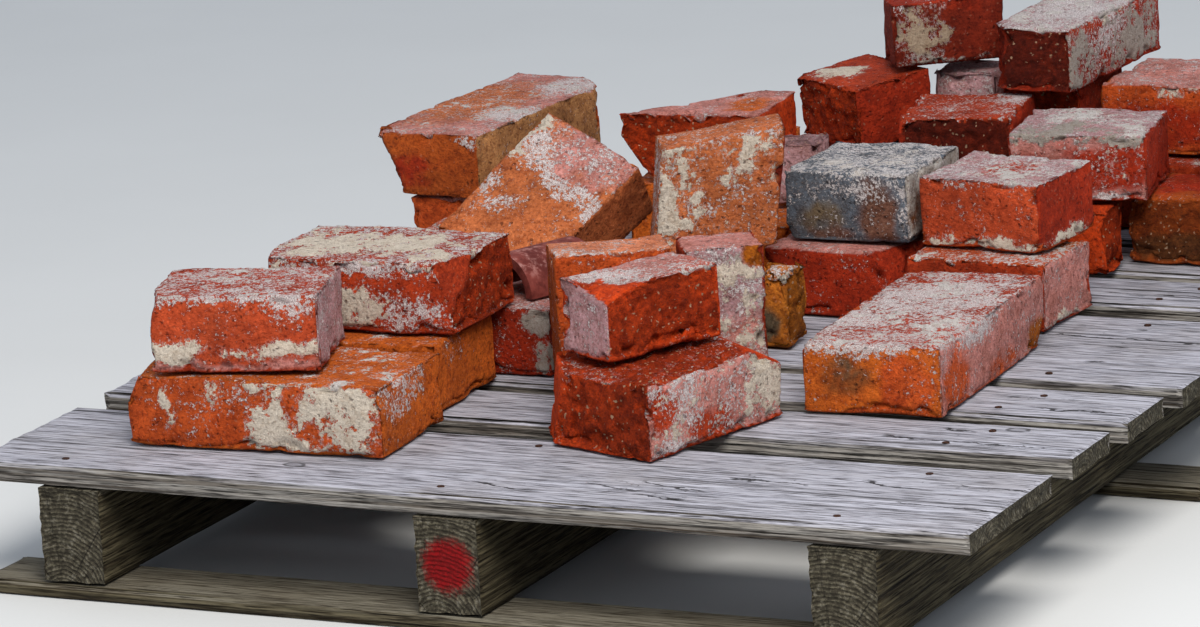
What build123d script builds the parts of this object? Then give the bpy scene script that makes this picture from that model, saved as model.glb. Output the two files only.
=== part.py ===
# A nailed timber pallet carrying a loose heap of old solid bricks, whole and broken.
# Millimetres, +Z up. The origin is on the ground under the middle of the pallet.
# +X runs along the deck boards and +Y from the front of the pallet to its back.
import os
from dataclasses import dataclass
from math import copysign

import numpy as np
from build123d import *

# Timber of the pallet
BOARD_LENGTH = 1000.0
BOARD_THICKNESS = 22.0
STRINGER_HEIGHT = 92.0
STRINGER_WIDTH = 67.0
BOTTOM_BOARD_THICKNESS = 16.0
BOTTOM_BOARD_WIDTH = 75.0
SAWN_ARRIS = 1.2

# Deck boards from the front: width, gap behind it, and how far its left end stands back
WIDE_BOARD = 194.0
BROAD_BOARD = 240.0
BACK_BOARD = 158.0
NARROW_BOARD = 96.0
BROAD_GAP = 52.0
NARROW_GAP = 30.0
END_SHIFT_SECOND = -2.5
END_SHIFT_THIRD = 2.0
END_SHIFT_FOURTH = 8.0

# Middle lines of the outer stringers, measured in from the ends of the boards
LEFT_STRINGER_INSET = 101.5
RIGHT_STRINGER_INSET = 122.0
MIDDLE_STRINGER_SHIFT = -9.0

# Nails
NAIL_SHANK = 3.4
NAIL_HEAD = 7.0
NAIL_HEAD_THICKNESS = 1.4
NAIL_LENGTH = 62.0
NAIL_SINK = 0.3
NAIL_CLEARANCE = 0.15
NAIL_EDGE = 24.0
NAIL_STAGGER = 13.0

# Bricks of the old large format, with what is left of their mortar
BRICK_LENGTH = 290.0
BRICK_WIDTH = 142.0
BRICK_HEIGHT = 70.0
MORTAR_CRUST = 2.0
WORN_ARRIS = 3.5

# Piece of a half-round clay tile
TILE_RADIUS = 39.0
TILE_WALL = 9.0
TILE_LENGTH = 90.0
TILE_X = -137.0
TILE_Y = -129.5
TILE_TURN = -23.0

# Air left between a piece and what it lies on
SEAT_GAP = 0.2

DECK_TOP = BOTTOM_BOARD_THICKNESS + STRINGER_HEIGHT + BOARD_THICKNESS


@dataclass
class Brick:
    """One brick or bat: where it lies, its size along its own axes, and where it is broken.

    x and y are the middle of its underside from the middle of the pallet, and turn is its
    angle seen from above. tip leans it about its own long and cross axes before the turn.
    Each break is the direction it faces and how deep it lies under the corner it took off.
    """

    name: str
    x: float
    y: float
    turn: float
    length: float = BRICK_LENGTH
    width: float = BRICK_WIDTH
    height: float = BRICK_HEIGHT
    tip: tuple = (0.0, 0.0)
    breaks: tuple = ()


# Bricks on the deck, front row first
ON_DECK = [
    Brick("orange_brick_front", -247, -449, 2.5, length=266, breaks=(((-1, -0.25, 0.5), 16),)),
    Brick("orange_brick_rear", -260, -298, 3.0, length=250),
    Brick("brick_under_tile", -209, -151, 2.0, length=240, width=130),
    Brick("edge_bat_left", -14, -227, 34.0, length=118, width=BRICK_HEIGHT - 3, height=BRICK_WIDTH),
    Brick("edge_bat_right", 81.4, -185.9, 34.0, length=82, width=BRICK_HEIGHT, height=BRICK_WIDTH),
    Brick("broken_brick", 81.8, -351.3, -16.0, length=168, width=193, height=75,
          breaks=(((-1, -1.1, 0.25), 42), ((-1, 1, 0), 40), ((0.2, 0.5, 1), 20))),
    Brick("ochre_bat", 70.5, -37, 0.0, length=50, width=52, height=82, breaks=(((0.6, -0.6, 0.7), 12),)),
    Brick("dark_red_brick", 80, 138, 0.0, length=150, width=140, breaks=(((1, -0.4, 0.6), 28),)),
    Brick("whole_brick", 259, -121.5, 2.5, length=BRICK_WIDTH, width=BRICK_LENGTH,
          breaks=(((1, 0.8, -0.5), 14),)),
    Brick("brick_behind_whole", 237.5, 115.5, -2.9, length=153, width=118),
    Brick("prop_bat", -330, 94, 0.0, length=90, width=130),
    Brick("far_bat", -389, 267, 0.0, length=130),
    Brick("dark_bat", 240, 308, 1.0, length=93, width=54),
    Brick("rounded_brown_brick", 341, 404, 0.0, length=124, width=130, height=BRICK_HEIGHT + MORTAR_CRUST,
          breaks=(((-0.5, -0.8, 0.6), 16), ((0.5, -0.8, 0.7), 14))),
]

# Bricks inside the heap, that carry the ones above them
INSIDE = [
    Brick("hidden_front", -42, 2, 5.0, length=120, width=120),
    Brick("hidden_middle", -62, 225, 5.0, length=110),
    Brick("hidden_left", -412, 395, 0.0, length=150, width=100),
    Brick("hidden_lean", -205, 105, 0.0, length=BRICK_HEIGHT, width=BRICK_HEIGHT, height=88),
    Brick("hidden_centre", -170, 378, 4.0, length=180),
    Brick("hidden_prop", -55, 480, -33.0, length=90, width=BRICK_HEIGHT, height=88),
    Brick("hidden_right", 98, 400, 5.0, length=172),
    Brick("hidden_back_left", -235, 545, 2.0, length=110, width=110),
    Brick("hidden_back_middle", 100, 545, 0.0, length=150, width=130),
    Brick("hidden_back_right", 335, 545, 0.0, width=130, height=BRICK_HEIGHT + MORTAR_CRUST),
]

# Bricks on top of others, in the order in which they were laid
ON_TOP = [
    Brick("speckled_bat", -283.7, -445.8, 17.3, length=167, width=125, height=75,
          breaks=(((-1, -0.3, 0.4), 14),)),
    Brick("limed_brick", -230, -271, 2.5, length=210, height=BRICK_HEIGHT + MORTAR_CRUST,
          breaks=(((1, -0.3, 0.4), 20), ((-1, -0.3, 0), 14))),
    Brick("bat_on_broken_brick", 72, -341, -27.0, length=78, width=136, height=75,
          breaks=(((0.3, -0.3, 1), 16),)),
    Brick("red_brick", 234.8, 150.6, -5.6, length=137, width=122, height=BRICK_HEIGHT + MORTAR_CRUST),
    Brick("burnt_grey_brick", 85.4, 166.2, 1.0, length=139, width=145, height=BRICK_HEIGHT + MORTAR_CRUST,
          breaks=(((-1, -0.5, -0.7), 11),)),
    Brick("standing_bat", -11, 24, 30.0, length=155, width=BRICK_HEIGHT, height=118,
          tip=(0.0, -6.0), breaks=(((-1, 0, 0.23), 26), ((1, 0, -0.22), 26))),
    Brick("leaning_bat", -209, 45.6, -30.1, length=130, width=175, height=78, tip=(34.0, 26.9)),
    Brick("upper_back_brick", -415.3, 339, -4.0, length=130, width=300,
          breaks=(((-1, -0.7, -0.5), 26), ((1, 1, 0), 30))),
    Brick("rough_long_brick", -191, 366, 6.0, length=172, width=125, height=75,
          breaks=(((-1, 1, 0), 95), ((-0.8, -0.6, -0.6), 34))),
    Brick("small_pale_bat", -30, 250, 12.0, length=60, width=60),
    Brick("large_red_brick", -50, 472, -33.0, length=120, width=100, tip=(6.0, 0.0)),
    Brick("rough_red_brick", 90.8, 397.8, 10.8, length=126, width=130, height=75,
          breaks=(((-0.5, -0.7, 0.6), 14),)),
    Brick("grey_faced_brick", 239, 362, 10.0, length=146, width=135),
    Brick("pale_bat", 47, 532, 0.0, length=78, width=BRICK_HEIGHT, height=88),
    Brick("back_right_brick", 310, 581, 0.0, length=240, height=BRICK_HEIGHT + 3 * MORTAR_CRUST),
    Brick("shadowed_bat", 138, 547, 0.0, length=92, width=130, height=78),
    Brick("edge_brick_right", 408, 455, 0.0, length=150, width=82),
    Brick("top_right_brick", 149, 557, -3.0, length=100, width=235,
          breaks=(((-1, -0.8, 0), 16),)),
    Brick("top_left_brick", 8, 525, 38.0, length=125, width=110,
          breaks=(((-1, 0.6, 0), 30),)),
]


def deck_boards():
    """Every deck board, nailed side by side from front to back."""
    rows = [
        ("deck_board_1", WIDE_BOARD, 0.0, BROAD_GAP),
        ("deck_board_2", NARROW_BOARD, END_SHIFT_SECOND, NARROW_GAP),
        ("deck_board_3", NARROW_BOARD, END_SHIFT_THIRD, NARROW_GAP),
        ("deck_board_4", BROAD_BOARD, END_SHIFT_FOURTH, BROAD_GAP),
        ("deck_board_5", NARROW_BOARD, 0.0, NARROW_GAP),
        ("deck_board_6", NARROW_BOARD, END_SHIFT_SECOND, NARROW_GAP),
        ("deck_board_7", BACK_BOARD, 0.0, 0.0),
    ]
    depth = sum(width + gap for _, width, _, gap in rows)
    boards = []
    front = -depth / 2
    for name, width, shift, gap in rows:
        boards.append((name, shift, front + width / 2, width))
        front += width + gap
    return boards, depth


def sawn(length, width, thickness, x, y, bottom):
    """A sawn piece of timber, with its sharp corners worn off."""
    piece = Pos(x, y, bottom) * Box(length, width, thickness, align=(Align.CENTER, Align.CENTER, Align.MIN))
    return chamfer(piece.edges(), SAWN_ARRIS)


def stringer_lines():
    """The three stringers and where their middle lines run."""
    return [
        ("stringer_left", -BOARD_LENGTH / 2 + LEFT_STRINGER_INSET),
        ("stringer_middle", MIDDLE_STRINGER_SHIFT),
        ("stringer_right", BOARD_LENGTH / 2 - RIGHT_STRINGER_INSET),
    ]


def bottom_board_lines(depth):
    """The three boards under the stringers and where their middle lines run."""
    outer = depth / 2 - BOTTOM_BOARD_WIDTH / 2
    return [("bottom_board_front", -outer), ("bottom_board_middle", 0.0), ("bottom_board_back", outer)]


def nail_places(width, y, stagger):
    """Where the two nails through one board stand on each stringer."""
    half = width / 2 - NAIL_EDGE
    for _, x in stringer_lines():
        yield x - stagger, y - half
        yield x + stagger, y + half


def nail(grow=0.0):
    """A flat-headed nail sunk into a face at height 0, or with grow, the hole that it stands in."""
    hanging = (Align.CENTER, Align.CENTER, Align.MAX)
    head = Pos(0, 0, grow) * Cylinder(NAIL_HEAD / 2 + grow, NAIL_HEAD_THICKNESS + 2 * grow, align=hanging)
    shank = Cylinder(NAIL_SHANK / 2 + grow, NAIL_LENGTH + grow, align=hanging)
    return Pos(0, 0, -NAIL_SINK) * (head + shank)


def nailing(boards, bottom_boards):
    """The place of every nail: from above through the deck, from below through the bottom boards."""
    places = []
    for _, _, y, width in boards:
        places += [Pos(x, at, DECK_TOP) for x, at in nail_places(width, y, NAIL_STAGGER)]
    for _, y in bottom_boards:
        spots = nail_places(BOTTOM_BOARD_WIDTH, y, -NAIL_STAGGER)
        places += [Pos(x, at, 0) * Rot(180, 0, 0) for x, at in spots]
    return places


class Shape:
    """The corners, edges and faces of a flat-faced convex solid, as seen from above."""

    def __init__(self, solid):
        self.corners = np.array([tuple(v) for v in solid.vertices()])
        self.edges = np.array([[tuple(e @ 0), tuple(e @ 1)] for e in solid.edges()])
        normals = np.array([tuple(f.normal_at()) for f in solid.faces()])
        centres = np.array([tuple(f.center()) for f in solid.faces()])
        self.normals = normals
        self.offsets = (normals * centres).sum(axis=1)
        self.low = self.corners.min(axis=0)
        self.high = self.corners.max(axis=0)

    def surface(self, points, side):
        """Height of the top (side 1) or the underside (side -1) at each point, nan beside the solid."""
        slack = self.offsets - points[:, :2] @ self.normals[:, :2].T
        rises = self.normals[:, 2]
        upright = abs(rises) < 1e-6
        facing = side * rises > 1e-6
        away = side * rises < -1e-6
        near = side * (side * slack[:, facing] / rises[facing]).min(axis=1)
        far = side * (side * slack[:, away] / rises[away]).max(axis=1)
        outside = (slack[:, upright] < 0).any(axis=1) | (side * (near - far) < 0)
        return np.where(outside, np.nan, near)


def crossings(upper, lower):
    """Height of each upper edge over each lower edge where they cross, seen from above."""
    start, end = upper.edges[:, None, 0], upper.edges[:, None, 1]
    other_start, other_end = lower.edges[None, :, 0], lower.edges[None, :, 1]
    run, other_run, between = end - start, other_end - other_start, other_start - start
    turn = run[..., 0] * other_run[..., 1] - run[..., 1] * other_run[..., 0]
    turn = np.where(abs(turn) < 1e-9, np.nan, turn)
    along = (between[..., 0] * other_run[..., 1] - between[..., 1] * other_run[..., 0]) / turn
    other_along = (between[..., 0] * run[..., 1] - between[..., 1] * run[..., 0]) / turn
    crossed = (along >= 0) & (along <= 1) & (other_along >= 0) & (other_along <= 1)
    height = (start + along[..., None] * run - other_start - other_along[..., None] * other_run)[..., 2]
    return height[crossed]


def drop(upper, lower):
    """How far the upper solid can sink before it meets the lower one."""
    if (upper.low[:2] > lower.high[:2]).any() or (upper.high[:2] < lower.low[:2]).any():
        return np.inf
    heights = np.concatenate([
        upper.corners[:, 2] - lower.surface(upper.corners, 1),
        upper.surface(lower.corners, -1) - lower.corners[:, 2],
        crossings(upper, lower),
    ])
    heights = heights[~np.isnan(heights)]
    return heights.min() if len(heights) else np.inf


def fired(brick):
    """A brick in its own frame: worn all round, and broken off along its planes."""
    size = Vector(brick.length, brick.width, brick.height)
    block = Box(*size, align=(Align.CENTER, Align.CENTER, Align.MIN))
    block = chamfer(block.edges(), WORN_ARRIS)
    for facing, depth in brick.breaks:
        normal = Vector(*facing).normalized()
        corner = Vector(
            copysign(size.X / 2, normal.X), copysign(size.Y / 2, normal.Y), size.Z if normal.Z > 0 else 0
        )
        block = split(block, bisect_by=Plane(corner - normal * depth, z_dir=normal), keep=Keep.BOTTOM)
    return block


def rest(place, solid, below):
    """Hold a solid high over its place, and let it down on to whatever lies below it."""
    held_high = Pos(0, 0, 2 * DECK_TOP + 4 * BRICK_LENGTH) * place
    shape = Shape((held_high * solid).solid())
    return Pos(0, 0, SEAT_GAP - min(drop(shape, other) for other in below)) * held_high


def lay(brick, below):
    """A brick turned into its place, resting on what lies below it."""
    block = fired(brick)
    place = Pos(brick.x, brick.y, 0) * Rot(0, 0, brick.turn) * Rot(*brick.tip, 0)
    return rest(place, block, below) * block


def half_round_tile(below):
    """A broken length of half-round tile, lying hollow side down on its two rims."""
    whole = Cylinder(TILE_RADIUS, TILE_LENGTH) - Cylinder(TILE_RADIUS - TILE_WALL, TILE_LENGTH)
    half = split(Rot(90, 0, 0) * whole, bisect_by=Plane.XY, keep=Keep.TOP)
    room = Box(2 * TILE_RADIUS, TILE_LENGTH, TILE_RADIUS, align=(Align.CENTER, Align.CENTER, Align.MIN))
    return rest(Pos(TILE_X, TILE_Y, 0) * Rot(0, 0, TILE_TURN), room, below) * half


def main():
    """Build every piece and write one file for each node."""
    os.makedirs("parts", exist_ok=True)
    nodes = {}
    boards, depth = deck_boards()
    board_bottom = DECK_TOP - BOARD_THICKNESS
    for name, x, y, width in boards:
        nodes[name] = sawn(BOARD_LENGTH, width, BOARD_THICKNESS, x, y, board_bottom)
    for name, x in stringer_lines():
        nodes[name] = sawn(STRINGER_WIDTH, depth, STRINGER_HEIGHT, x, 0, BOTTOM_BOARD_THICKNESS)
    for name, y in bottom_board_lines(depth):
        nodes[name] = sawn(BOARD_LENGTH, BOTTOM_BOARD_WIDTH, BOTTOM_BOARD_THICKNESS, 0, y, 0)
    below = [Shape(nodes[name].solid()) for name, *_ in boards]
    places = nailing(boards, bottom_board_lines(depth))
    for name, timber in nodes.items():
        box = timber.bounding_box()
        near = [place for place in places if box.min.X < place.position.X < box.max.X
                and box.min.Y < place.position.Y < box.max.Y]
        reaching = [place * nail(NAIL_CLEARANCE) for place in near]
        nodes[name] = timber - [hole for hole in reaching if hole.bounding_box().max.Z > box.min.Z
                                and hole.bounding_box().min.Z < box.max.Z]
    nodes["nails"] = Compound(children=[(place * nail()).solid() for place in places])
    hidden = []
    for brick in ON_DECK + INSIDE + ON_TOP:
        placed = lay(brick, below)
        below.append(Shape(placed.solid()))
        if brick in INSIDE:
            hidden.append(placed)
        else:
            nodes[brick.name] = placed
    nodes["half_round_tile"] = half_round_tile(below)
    nodes["hidden_bricks"] = Compound(children=[piece.solid() for piece in hidden])
    for name, piece in nodes.items():
        export_step(piece, f"parts/{name}.step")


main()
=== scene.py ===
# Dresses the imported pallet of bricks: worn clay, lime mortar, weathered boards, floor, light and camera.
from dataclasses import dataclass, field

import bmesh
import bpy
import numpy as np
from mathutils import Matrix, Vector, noise

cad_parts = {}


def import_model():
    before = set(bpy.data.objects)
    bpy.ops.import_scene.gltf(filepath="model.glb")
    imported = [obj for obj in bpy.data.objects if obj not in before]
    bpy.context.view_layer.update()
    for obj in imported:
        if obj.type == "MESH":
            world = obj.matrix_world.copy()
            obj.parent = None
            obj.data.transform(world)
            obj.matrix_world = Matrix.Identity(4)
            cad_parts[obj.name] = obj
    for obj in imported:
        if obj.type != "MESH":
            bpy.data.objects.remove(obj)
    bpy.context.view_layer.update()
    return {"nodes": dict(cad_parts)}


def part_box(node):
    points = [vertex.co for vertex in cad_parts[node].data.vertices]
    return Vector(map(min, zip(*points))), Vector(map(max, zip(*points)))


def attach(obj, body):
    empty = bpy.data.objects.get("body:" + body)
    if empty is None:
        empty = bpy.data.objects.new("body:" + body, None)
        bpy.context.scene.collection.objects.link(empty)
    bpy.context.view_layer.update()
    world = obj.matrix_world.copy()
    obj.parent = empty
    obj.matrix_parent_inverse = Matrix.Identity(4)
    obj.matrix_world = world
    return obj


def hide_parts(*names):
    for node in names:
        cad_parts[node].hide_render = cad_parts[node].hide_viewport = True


# Camera, from the photograph
CAMERA_PLACE = (2.4736, -5.2349, 1.5832)
CAMERA_RIGHT = (0.89943, 0.43329, -0.05735)
CAMERA_UP = (-0.05398, 0.24033, 0.96919)
LENS_MM = 183.6
SENSOR_MM = 36.0

# Fineness of the meshes, in metres
BRICK_VOXEL = 0.0034
SCRAP_VOXEL = 0.0045
BOARD_STEP_ALONG = 0.008
BOARD_STEP_ACROSS = 0.0030

# Waves of the bricks' unevenness, in metres
SAG_WAVE = 0.085
BROAD_WAVE = 0.055
PATCH_WAVE = 0.026
MIDDLE_WAVE = 0.020
FRAY_WAVE = 0.011
SMALL_WAVE = 0.009
FINE_WAVE = 0.0045

# Relief of the bricks, in metres
MORTAR_DEPTH = 0.0013
BROKEN_DEPTH = 0.0095
SMOOTH_DEPTH = 0.0009
SAG_DEPTH = 0.0030
ARRIS_LEAST = 0.003
ARRIS_MOST = 0.012
CHIP_DEPTH = 0.011
CHIP_REACH = 0.017
WANDER = 0.010
FRAY = 0.0035
SANDY_RELIEF = 0.0032
SKIN_RELIEF = 0.0018
TORN_RELIEF = 0.0045

# Shares: how deep a worn arris is for its width, how ragged mortar is, how fully its patches
# cover, and how limy the arrises are
ARRIS_SHARE = 0.42
RAGGED = 0.80
COVER = 0.78
EDGE_LIME = 0.22

# Relief of the timber, in metres. The two stretches are shares that draw its waves out longer.
GRAIN_DEPTH = 0.0005
WAVE_DEPTH = 0.0006
WORN_EDGE_DEPTH = 0.0024
END_DEPTH = 0.0020
END_WAVE_DEPTH = 0.0008
GRAIN_WAVE = 0.004
BOARD_WAVE = 0.016
END_WAVE = 0.007
END_STRETCH = 0.35
GRAIN_STRETCH = 0.045
GRAIN_RELIEF = 0.0036
RING_RELIEF = 0.0022

# What a mark on a mesh reads where it is far from every split or knot
FAR = 9.0

# How much every surface shines
SHEEN = 0.15

# Sprayed on the end of the middle stringer: linear light, and metres
RED_PAINT = (0.24, 0.001, 0.003)
SPRAY_RADIUS = 0.031

# Growth rings, as radians to the metre (about 4 mm apart), and how many radians they wander
RINGS_PER_METRE = 1500.0
RING_SWAY = 14.0

# Where the middle of the tree lay: share of each timber's width, and metres below its underside
HEARTS = (0.30, 0.75, 0.45, 0.15, 0.60)
HEART_DEPTH = 0.012

# Light: the sky's colour and strength, and the lamp's place, width, power and colour
SKY_COLOUR = (0.80, 0.88, 1.0, 1.0)
SKY_STRENGTH = 0.66
LAMP_PLACE = (1.5, -2.3, 3.2)
LAMP_AIM = (0.0, 0.0, 0.2)
LAMP_WIDTH = 2.2
LAMP_WATTS = 180.0
LAMP_COLOUR = (1.0, 0.97, 0.92)

# Half the floor's width, in metres, and its two close greys, as linear light
FLOOR_REACH = 14.0
FLOOR_GREYS = ((0.60, 0.60, 0.59), (0.64, 0.64, 0.63))

# Colours as they look, written in sRGB
PALETTE = {
    "orange": "#c95f1c",
    "bright": "#c4501e",
    "red": "#b03a17",
    "crimson": "#a12c10",
    "dark_red": "#cc4212",
    "maroon": "#7a2410",
    "pink": "#c98378",
    "dusty": "#bb8c8c",
    "ochre": "#a8580f",
    "brown": "#7a4420",
    "slate": "#62676f",
    "soot": "#6b5a44",
    "cream": "#e9dbc9",
    "lime": "#e4dcd7",
    "grey": "#b5aaa0",
    "salmon": "#c26a3c",
    "rust": "#b04f1a",
    "tan": "#b27a4a",
    "umber": "#704a3a",
    "brickred": "#bd4a26",
    "peach": "#d8825c",
    "amber": "#bb6a20",
    "sand": "#b9a48c",
    "grit": "#e6bd98",
    "chalk": "#f2ebe8",
    "dull_chalk": "#b0a2a0",
    "sawn_end": "#5d5747",
    "sawn_ring": "#453f33",
    "sawn_dirt": "#2c271f",
    "sawn_dust": "#8a8477",
    "black_split": "#100c08",
    "rust_scale": "#4a2c1c",
    "black_iron": "#16100c",
    "tile": "#7c3a32",
    "dark_tile": "#54201b",
    # Pale dust on the tile, also standing as a painted highlight on its upward faces
    "tile_dust_and_highlight": "#b98f88",
}

# Kinds of timber: the axis each runs along (0 is x, 1 is y), and its pale, dark and deepest
# colour in sRGB
TIMBER = {
    "deck_board": (0, "#b7b6c0", "#656369", "#1a1613"),
    # The stringer's colours are darkened as painted shade, for the shadow under the deck.
    "stringer": (1, "#6c6657", "#3c3529", "#100c08"),
    "bottom_board": (0, "#7a7466", "#463e32", "#120e0a"),
}

# Palette colours that lie on a brick as mortar rather than stain it
MORTARS = ("cream", "grey", "sand")

DIRECTIONS = {
    "front": (0.0, -1.0, 0.0),
    "right": (1.0, 0.0, 0.0),
    "left": (-1.0, 0.0, 0.0),
    "back": (0.0, 1.0, 0.0),
    "top": (0.0, 0.0, 1.0),
    "bottom": (0.0, 0.0, -1.0),
}

# Faces that are not a brick's own front, right, top, left or back, by the way they face
EDGE_FACE = (0.56, -0.83, 0.0)
OCHRE_CHIP = (0.55, -0.55, 0.64)
LONG_CHAMFER = (0.07, -0.70, 0.71)

# Splits in the boards: each from one place to another, along and across from 0 to 1
CRACKS = {
    "deck_board_1": (
        ((0.60, 0.36), (0.66, 0.30)), ((0.65, 0.44), (0.72, 0.35)), ((0.66, 0.24), (0.71, 0.19)),
        ((0.50, 0.24), (0.57, 0.17)), ((0.84, 0.69), (0.90, 0.63)), ((0.93, 0.75), (1.0, 0.70)),
        ((0.72, 0.60), (0.80, 0.56)), ((0.90, 0.40), (1.0, 0.36)),
    ),
    "deck_board_2": (((0.84, 0.75), (0.88, 0.72)), ((0.80, 0.35), (1.0, 0.30))),
    "deck_board_3": (
        ((0.86, 0.64), (0.89, 0.65)), ((0.895, 0.67), (0.93, 0.66)), ((0.90, 0.30), (1.0, 0.33)),
    ),
    "deck_board_4": (
        ((0.874, 0.31), (0.896, 0.32)), ((0.873, 0.55), (0.892, 0.55)), ((0.878, 0.82), (0.893, 0.82)),
        ((0.70, 0.70), (1.0, 0.66)),
    ),
    "deck_board_5": (((0.80, 0.40), (0.97, 0.44)),),
}

# Knots in the boards: place along and across from 0 to 1, and radius in metres
KNOTS = {
    "deck_board_2": ((0.914, 0.86, 0.0065),),
    "deck_board_6": ((0.70, 0.5, 0.007),),
    "deck_board_1": ((0.31, 0.30, 0.006),),
}


@dataclass
class Look:
    """How one brick looks. Faces are named as seen from the front of the pallet.

    clay colours the whole brick and faces recolours single ones. broken lists its torn faces.
    mortar and lime say how much of each clings to a face, from 0 to 1. patches are further
    spots of mortar, lime, stain, or clay laid bare: kind, face, place across and up it from
    0 to 1, half width, half height and strength. wear widens the rounding of its arrises.
    """

    clay: str = "red"
    faces: dict = field(default_factory=dict)
    broken: tuple = ()
    mortar: dict = field(default_factory=dict)
    lime: dict = field(default_factory=dict)
    patches: tuple = ()
    slot: str = "orange_brick"
    wear: float = 1.0


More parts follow.
